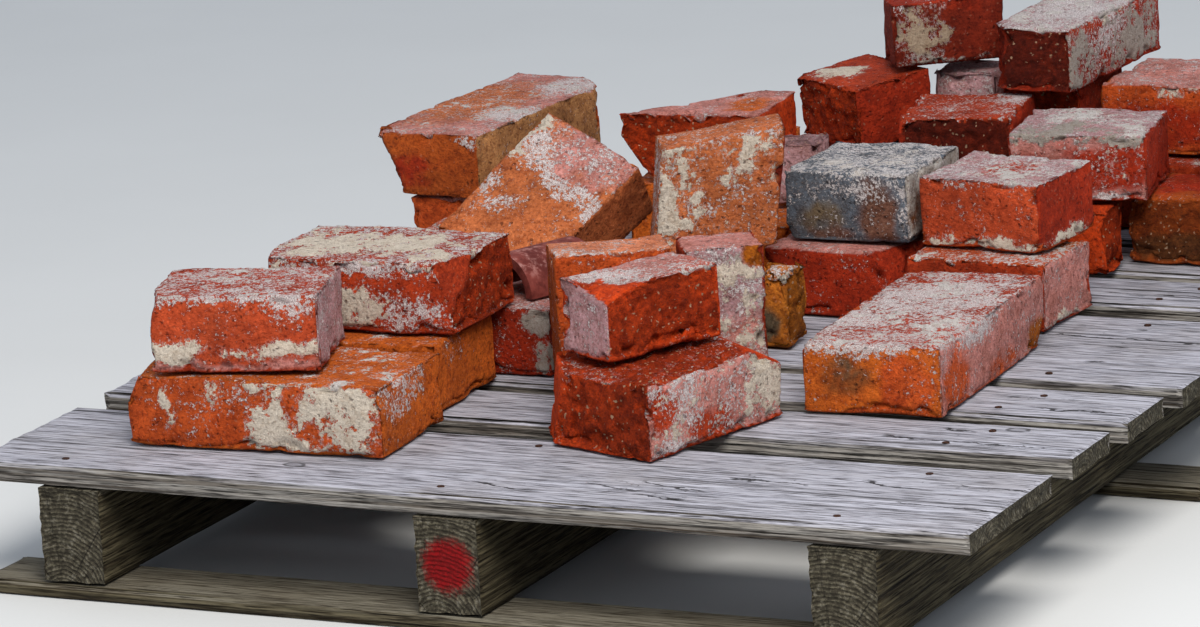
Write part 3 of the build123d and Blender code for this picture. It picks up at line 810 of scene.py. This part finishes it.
def brick_material():
    """Fired clay with blotches, pits and grit, under a bloom of lime and crusts of sandy mortar, with painted
    shade in its pits and hollows and painted highlights on its torn ridges.
    """
    g = Graph("worn_brick")
    place = g.place()
    clay, torn = g.attribute("clay", colour=True), g.attribute("torn")
    blotch, mottle = g.noise(place, 32, 4), g.noise(place, 112, 4, 0.68)
    speck, grain = g.noise(place, 300, 4, 0.75), g.noise(place, 1000, 2)
    colour = g.shade(clay, clay, blotch, 0.50, 0.66, 0.55, (1.20, 1.30, 1.35))
    colour = g.shade(colour, clay, blotch, 0.48, 0.34, 0.45, (0.74, 0.62, 0.52))
    colour = g.shade(colour, clay, mottle, 0.50, 0.62, 0.55, (0.50, 0.36, 0.30))
    colour = g.shade(colour, clay, mottle, 0.46, 0.36, 0.50, (1.35, 1.45, 1.50))
    colour = g.shade(colour, colour, speck, 0.53, 0.61, 0.60, (0.38, 0.27, 0.25))
    colour = g.shade(colour, colour, speck, 0.45, 0.36, 0.55, (1.55, 1.75, 1.90))
    craggy = g.noise(place, 150, 5, 0.78)
    # Painted shade in the hollows of the craggy relief, strongest on torn clay and on chips and worn arrises.
    deep = g.times(g.ramp(craggy, 0.46, 0.37), g.plus(g.times(torn, 0.50), 0.08))
    colour = g.mix(deep, colour, g.tinted(colour, (0.22, 0.15, 0.14)))
    # Painted highlight on the ridges of that relief, on torn clay and on chips and worn arrises.
    painted_ridge_highlight = g.times(g.ramp(craggy, 0.50, 0.60), torn)
    colour = g.mix(painted_ridge_highlight, colour, g.tinted(colour, (1.50, 1.55, 1.55)))
    bent = g.mix(0.010, place, g.noise(place, 90, 3).node.outputs["Color"])
    stones = g.node("ShaderNodeTexVoronoi", {"Vector": bent, "Scale": 230.0, "Randomness": 1.0})
    kind = stones.node.outputs["Color"]
    grit = g.times(g.ramp(stones, 0.34, 0.22), g.ramp(kind, 0.68, 0.71))
    grit = g.times(grit, g.plus(g.times(torn, 0.80), 0.10))
    colour = g.mix(grit, colour, linear("grit"))
    pits = g.times(g.ramp(stones, 0.40, 0.20), g.ramp(kind, 0.24, 0.18))
    flake = g.noise(place, 310, 4, 0.75)
    film = lime_film(g, blotch, mottle, flake)
    chalk = g.mix(g.ramp(grain, 0.40, 0.60), linear("dull_chalk"), linear("chalk"))
    colour = g.mix(g.times(film, 0.88), colour, chalk)
    fray = g.times(g.minus(g.noise(place, 190, 5, 0.80), 0.5), 1.9)
    crust = g.ramp(g.plus(g.attribute("crust"), fray), 0.47, 0.53)
    tone = g.attribute("tone", colour=True)
    mortar = g.shade(tone, tone, grain, 0.62, 0.40, 0.60, (0.70, 0.66, 0.62))
    mortar = g.shade(mortar, tone, mottle, 0.50, 0.64, 0.55, (0.72, 0.63, 0.55))
    mortar = g.shade(mortar, mortar, flake, 0.55, 0.63, 0.60, (0.50, 0.42, 0.37))
    colour = g.mix(crust, colour, mortar)
    # Painted shade darkens the small pits, which the sandy bump below also sinks.
    colour = g.mix(g.times(pits, 0.60), colour, g.tinted(colour, (0.16, 0.11, 0.10)))
    skin = g.bump(g.plus(crust, g.times(film, 0.35)), SKIN_RELIEF, 0.9)
    sandy = g.bump(g.minus(g.plus(speck, g.times(grain, 0.4)), pits), SANDY_RELIEF, 0.9, skin)
    broken = g.bump(g.times(craggy, g.plus(torn, 0.15)), TORN_RELIEF, 1.0, sandy)
    return g.finish(colour, g.plus(g.times(crust, 0.08), 0.84), broken)


def lime_film(g, blotch, mottle, flake):
    """How white each point is: a bloom broken up at every scale, and a haze round the mortar."""
    lime = g.attribute("lime")
    cloudy = g.plus(g.times(blotch, 0.40), g.times(mottle, 0.45))
    wanted = g.plus(g.plus(cloudy, flake), g.times(lime, 0.30))
    bloom = g.times(g.ramp(wanted, 1.11, 1.20), g.ramp(lime, 0.0, 0.15))
    haze = g.times(g.ramp(g.attribute("crust"), 0.10, 0.45), g.ramp(flake, 0.50, 0.58))
    return g.larger(bloom, g.times(haze, 0.60))


def wood_material(name, along, tint):
    """Weathered softwood: silver grain along it, growth rings on its ends, splits, knots and stains."""
    g = Graph(name)
    broad, middle, fine = (g.noise(g.place(spread(along, width, length)), 1.0, detail, 0.62, bend)
                           for width, length, detail, bend in
                           ((70.0, 2.4, 4, 0.3), (260.0, 9.0, 4, 0.2), (620.0, 26.0, 3, 0.1)))
    cloud = g.noise(g.place(), 11.0, 4)
    pale, dark, deep = (linear(code) for code in tint)
    grain = g.plus(g.times(middle, 0.40), g.times(fine, 0.60))
    colour = g.mix(g.ramp(grain, 0.40, 0.55), dark, pale)
    colour = g.mix(g.times(g.ramp(fine, 0.44, 0.34), 0.60), colour, deep)
    colour = g.shade(colour, colour, broad, 0.46, 0.64, 0.40, (0.62, 0.60, 0.57))
    colour = g.shade(colour, colour, cloud, 0.46, 0.72, 0.35, (0.70, 0.64, 0.56))
    rings, checks = growth_rings(g, along)
    colour = g.shade(colour, colour, rings, 0.45, 0.20, 0.30, (0.50, 0.46, 0.42))
    normal = g.tree.nodes.new("ShaderNodeNewGeometry").outputs["True Normal"]
    apart = g.node("ShaderNodeSeparateXYZ", {"Vector": normal}).node
    sides = g.ramp(apart.outputs[2], 0.5, 0.2)
    layer = g.noise(g.place(layered(along)), 1.0, 3, 0.55)
    sawn = g.shade(colour, colour, layer, 0.52, 0.44, 0.90, (0.36, 0.31, 0.24))
    colour = g.mix(g.times(sides, 0.9), colour, g.tinted(sawn, (0.62, 0.58, 0.45)))
    end = g.ramp(g.maths("ABSOLUTE", apart.outputs[along]), 0.6, 0.8)
    colour = g.mix(end, colour, end_grain(g, rings, checks))
    under = g.ramp(apart.outputs[2], -0.4, -0.8)
    colour = g.mix(under, colour, g.tinted(colour, (0.5, 0.38, 0.28)))
    split = g.ramp(g.noise(g.place(spread(along, 95.0, 1.3)), 1.0, 5, 0.6, 0.5), 0.635, 0.650)
    wander = g.noise(g.place(spread(along, 90.0, 30.0)), 1.0, 4)
    wander = g.times(g.minus(wander, 0.5), 2.6)
    off_line = g.maths("ABSOLUTE", g.plus(g.attribute("side"), wander))
    line = g.times(g.ramp(off_line, 0.17, 0.09), g.attribute("reach"))
    lines = g.times(g.minus(1.0, end), g.larger(line, g.times(split, 0.8)))
    colour = g.mix(g.times(lines, 0.88), colour, deep)
    knot = g.plus(g.attribute("knot"), g.times(g.minus(middle, 0.5), 0.6))
    rim = g.ramp(g.maths("ABSOLUTE", g.minus(knot, 1.0)), 0.30, 0.08)
    colour = g.mix(g.times(rim, 0.70), colour, deep)
    colour = g.mix(g.times(g.ramp(knot, 1.0, 0.75), 0.45), colour, dark)
    spray = g.plus(g.attribute("paint"), g.times(g.noise(g.place(), 220.0, 5, 0.75), 0.9))
    red = g.shade(RED_PAINT, RED_PAINT, fine, 0.55, 0.40, 0.6, (0.4, 0.3, 0.3))
    colour = g.mix(g.times(g.ramp(spray, 0.82, 1.20), 0.97), colour, red)
    height = g.minus(g.plus(grain, g.times(broad, 0.5)), g.times(lines, 1.5))
    grooves = g.bump(height, GRAIN_RELIEF, 0.95)
    ringed = g.larger(g.times(end, 0.35), g.times(sides, 0.8))
    ridges = g.bump(g.times(rings, ringed), RING_RELIEF, 0.9, grooves)
    return g.finish(colour, 0.82, ridges)


def spread(along, width, length):
    """How closely noise is packed across the grain and along it."""
    packed = [width, width, width]
    packed[along] = length
    return packed


def layered(along):
    """How closely noise is packed for thin growth layers that run level along a sawn edge."""
    packed = [22.0, 22.0, 330.0]
    packed[along] = 2.4
    return packed


def growth_rings(g, along):
    """Growth rings round the timber's heart, and drying checks that run out from it."""
    sway = g.noise(g.place(spread(along, 42.0, 1.5)), 1.0, 4, 0.7)
    turns = g.plus(g.times(g.attribute("heart"), RINGS_PER_METRE), g.times(sway, RING_SWAY))
    rings = g.plus(g.times(g.maths("SINE", turns), 0.5), 0.5)
    spokes = g.node("ShaderNodeCombineXYZ", {0: g.times(g.attribute("spoke"), 9.0), 1: sway})
    return rings, g.ramp(g.noise(spokes, 1.0, 3, 0.6), 0.60, 0.66)


def end_grain(g, rings, checks):
    """Dull sawn ends with dark rings, checks and dirt."""
    colour = g.mix(g.ramp(rings, 0.10, 0.90), linear("sawn_ring"), linear("sawn_end"))
    rough = g.noise(g.place(), 200.0, 5, 0.75)
    colour = g.mix(g.times(g.ramp(rough, 0.44, 0.60), 0.80), colour, linear("sawn_dirt"))
    colour = g.mix(g.times(g.ramp(rough, 0.46, 0.36), 0.45), colour, linear("sawn_dust"))
    return g.mix(g.times(checks, 0.85), colour, linear("black_split"))


def plank(name, low, high, along, seed, cracks=()):
    """A sawn and weathered length of timber that fills a box, with wavy faces and its cracks marked.

    Each crack runs between two places across the top, from 0 to 1 along and across it.
    """
    size = high - low
    across = 1 - along
    counts = [0, 0, 0]
    counts[along] = max(2, round(size[along] / BOARD_STEP_ALONG))
    counts[across] = max(2, round(size[across] / BOARD_STEP_ACROSS))
    counts[2] = max(2, round(size[2] / (2 * BOARD_STEP_ACROSS)))
    mesh = bmesh.new()
    seen = {}

    def corner(i, j, k):
        if (i, j, k) not in seen:
            share = np.array((i / counts[0], j / counts[1], k / counts[2]))
            seen[(i, j, k)] = mesh.verts.new(low + size * share)
        return seen[(i, j, k)]

    for axis in range(3):
        a, b = (axis + 1) % 3, (axis + 2) % 3
        for end in (0, counts[axis]):
            for p in range(counts[a]):
                for q in range(counts[b]):
                    ring = []
                    for dp, dq in ((0, 0), (1, 0), (1, 1), (0, 1)):
                        spot = [0, 0, 0]
                        spot[axis], spot[a], spot[b] = end, p + dp, q + dq
                        ring.append(corner(*spot))
                    mesh.faces.new(ring if end else ring[::-1])
    data = bpy.data.meshes.new(name)
    mesh.to_mesh(data)
    mesh.free()
    piece = added(name, data)
    roughen_plank(data, low, size, along, seed, cracks)
    return piece


def roughen_plank(data, low, size, along, seed, cracks):
    """Gives timber its raised grain and worn arrises, all inside its box, and marks its splits."""
    across = 1 - along
    points = places(data)
    share = (points - low) / size
    slim = points * 1.0
    slim[:, along] *= GRAIN_STRETCH
    grain = ripple(slim, GRAIN_WAVE, seed)
    wave = ripple(slim, BOARD_WAVE, seed + 1)
    side = 2 * (share - 0.5)
    outward = np.where(abs(side) > 0.999, np.sign(side), 0.0)
    ends = abs(outward[:, along]) > 0
    depth = GRAIN_DEPTH * (1 + grain) + WAVE_DEPTH * (1 + wave)
    worn = (abs(outward[:, across]) + abs(outward[:, 2])) > 1
    depth = depth + WORN_EDGE_DEPTH * worn * (1 + wave)
    level = points * 1.0
    level[:, across] *= END_STRETCH
    layers = ripple(level, END_WAVE, seed + 2)
    depth = np.where(ends, END_DEPTH * (1 + layers) + END_WAVE_DEPTH * (1 + wave), depth)
    mark_cracks(data, share[:, [along, across]], size[[along, across]], side[:, 2] > 0.9, cracks)
    heart = low[across] + size[across] * HEARTS[seed % len(HEARTS)]
    mark_heart(data, points[:, across] - heart, points[:, 2] - low[2])
    length = np.linalg.norm(outward, axis=1)
    outward = outward / np.where(length == 0, 1, length)[:, None]
    data.vertices.foreach_set("co", (points - outward * depth[:, None]).ravel())
    data.update()


def mark_cracks(data, flat, size, on_top, cracks):
    """Keeps how far each point of the top is to the side of the nearest split, in centimetres."""
    nearest = np.full(len(flat), FAR)
    reach = np.zeros(len(flat))
    for start, end in cracks:
        start, end = np.array(start), np.array(end)
        along_it = np.clip((flat[:, 0] - start[0]) / (end[0] - start[0]), 0, 1)
        off = (flat[:, 1] - start[1] - along_it * (end[1] - start[1])) * size[1] * 100
        beyond = np.maximum(start[0] - flat[:, 0], flat[:, 0] - end[0]) * size[0]
        closer = abs(off) + 50 * np.maximum(beyond, 0) < abs(nearest)
        nearest = np.where(closer, off, nearest)
        reach = np.where(closer, step(0.0, -0.005, beyond) * on_top, reach)
    store(data, "side", nearest)
    store(data, "reach", reach)


def mark_heart(data, off, up):
    """Keeps how far, and which way, each point is from the middle of the tree, below the timber."""
    up = up + HEART_DEPTH
    store(data, "heart", np.hypot(off, up))
    store(data, "spoke", np.arctan2(off, up))


def mark_knots(data, name, low, high):
    """Keeps how far each point of the top is from the nearest knot, in the knot's own radii."""
    points = places(data)
    nearest = np.full(len(points), FAR)
    for across, up, radius in KNOTS.get(name, ()):
        middle = low + (high - low) * np.array((across, up, 1.0))
        nearest = np.minimum(nearest, np.linalg.norm((points - middle) * (0.6, 1, 1), axis=1) / radius)
    store(data, "knot", nearest)


def main():
    """Builds every piece, the stage, the light and the camera."""
    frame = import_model()
    camera()
    light()
    dress_bricks(frame)
    dress_timber(frame)
    dress_small(frame)
    stage()


def dress_bricks(frame):
    """Replaces every brick node by its worn skin."""
    material = brick_material()
    for seed, (name, look) in enumerate(LOOKS.items()):
        (corners, faces, planes), = islands(frame["nodes"][name])
        piece = fine_mesh(f"worn_{name}", corners, faces, BRICK_VOXEL)
        weather(piece, planes, look, 10 * seed + 1)
        settle(piece, material, name)
    for seed, (corners, faces, planes) in enumerate(islands(frame["nodes"]["hidden_bricks"])):
        look = HIDDEN_LOOKS[seed % len(HIDDEN_LOOKS)]
        piece = fine_mesh(f"worn_hidden_brick_{seed + 1}", corners, faces, SCRAP_VOXEL)
        weather(piece, planes, look, 700 + 10 * seed)
        settle(piece, material, "hidden_bricks")


def settle(piece, material, node):
    """Gives a piece its material and lets it stand for its node."""
    piece.data.materials.clear()
    piece.data.materials.append(material)
    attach(piece, "root")
    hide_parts(node)


def dress_timber(frame):
    """Replaces every board and stringer by weathered timber."""
    woods = {kind: wood_material(f"weathered_{kind}", along, tint)
             for kind, (along, *tint) in TIMBER.items()}
    timbers = [name for name in frame["nodes"] if name.startswith(tuple(TIMBER))]
    for seed, name in enumerate(timbers):
        low, high = (np.array(corner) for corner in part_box(name))
        kind = next(kind for kind in TIMBER if name.startswith(kind))
        piece = plank(f"aged_{name}", low, high, TIMBER[kind][0], 300 + 5 * seed, CRACKS.get(name, ()))
        mark_knots(piece.data, name, low, high)
        paint_spot(piece.data, name, low, high)
        settle(piece, woods[kind], name)


def paint_spot(data, name, low, high):
    """The round red paint mark on the middle stringer's front end."""
    points = places(data)
    value = np.zeros(len(points))
    if name == "stringer_middle":
        middle = (low + high) / 2
        away = np.hypot(points[:, 0] - middle[0], points[:, 2] - middle[2])
        value = np.clip(1.35 - away / SPRAY_RADIUS, 0, 1) * (points[:, 1] < low[1] + 0.01)
    store(data, "paint", value)


def dress_small(frame):
    """Rusty nails, and the tile's smooth dark clay, with dust and a painted highlight on its upward faces."""
    g = Graph("rusty_iron")
    scale = g.ramp(g.noise(g.place(), 500.0, 4), 0.35, 0.65)
    rust = g.mix(scale, linear("black_iron"), linear("rust_scale"))
    g.finish(rust, 0.75, g.bump(g.noise(g.place(), 1200.0, 3), 0.0003))
    assign(frame["nodes"]["nails"], g.material)
    g = Graph("fired_tile")
    cloud = g.noise(g.place(), 60.0, 5)
    clay = g.mix(g.ramp(cloud, 0.35, 0.65), linear("dark_tile"), linear("tile"))
    # Pale patches, partly dust and partly a painted highlight, laid only on the tile's upward faces.
    dust_and_top_highlight = g.times(g.ramp(g.noise(g.place(), 120.0, 5, 0.7), 0.48, 0.7), 0.55)
    facing = g.tree.nodes.new("ShaderNodeNewGeometry").outputs["Normal"]
    up = g.node("ShaderNodeSeparateXYZ", {"Vector": facing}).node
    dust_and_top_highlight = g.times(dust_and_top_highlight, g.ramp(up.outputs[2], 0.3, 0.9))
    sandy = g.bump(g.noise(g.place(), 300.0, 4), 0.0010, 0.6)
    g.finish(g.mix(dust_and_top_highlight, clay, linear("tile_dust_and_highlight")), 0.6, sandy)
    assign(frame["nodes"]["half_round_tile"], g.material)


def assign(node, material):
    """Gives a CAD node a better material."""
    node.data.materials.clear()
    node.data.materials.append(material)


def camera():
    """The photograph's own place and lens."""
    data = bpy.data.cameras.new("camera")
    data.lens = LENS_MM
    data.sensor_width = SENSOR_MM
    data.clip_end = 60.0
    eye = added("camera", data)
    right, up = Vector(CAMERA_RIGHT), Vector(CAMERA_UP)
    turn = Matrix((right, up, right.cross(up))).transposed().to_4x4()
    eye.matrix_world = Matrix.Translation(CAMERA_PLACE) @ turn
    bpy.context.scene.camera = eye


def light():
    """An even sky and one broad soft lamp from above and to the right."""
    world = bpy.data.worlds.new("sky")
    bpy.context.scene.world = world
    world.use_nodes = True
    tree = world.node_tree
    plain_sky = tree.nodes["Background"]
    plain_sky.inputs["Color"].default_value = SKY_COLOUR
    plain_sky.inputs["Strength"].default_value = SKY_STRENGTH
    lamp = bpy.data.lights.new("soft_lamp", "AREA")
    lamp.shape = "DISK"
    lamp.size = LAMP_WIDTH
    lamp.energy = LAMP_WATTS
    lamp.color = LAMP_COLOUR
    holder = added("soft_lamp", lamp)
    holder.location = LAMP_PLACE
    holder.rotation_euler = (Vector(LAMP_AIM) - holder.location).to_track_quat("-Z", "Y").to_euler()
    bpy.context.scene.view_settings.view_transform = "Standard"


def stage():
    """A plain pale floor."""
    mesh = bmesh.new()
    bmesh.ops.create_grid(mesh, x_segments=1, y_segments=1, size=FLOOR_REACH)
    data = bpy.data.meshes.new("floor")
    mesh.to_mesh(data)
    mesh.free()
    floor = added("floor", data)
    g = Graph("pale_floor")
    tone = g.mix(g.noise(g.place(), 3.0, 2), *FLOOR_GREYS)
    g.finish(tone, 0.9, g.bump(g.noise(g.place(), 200.0, 2), 0.0002))
    data.materials.append(g.material)


main()
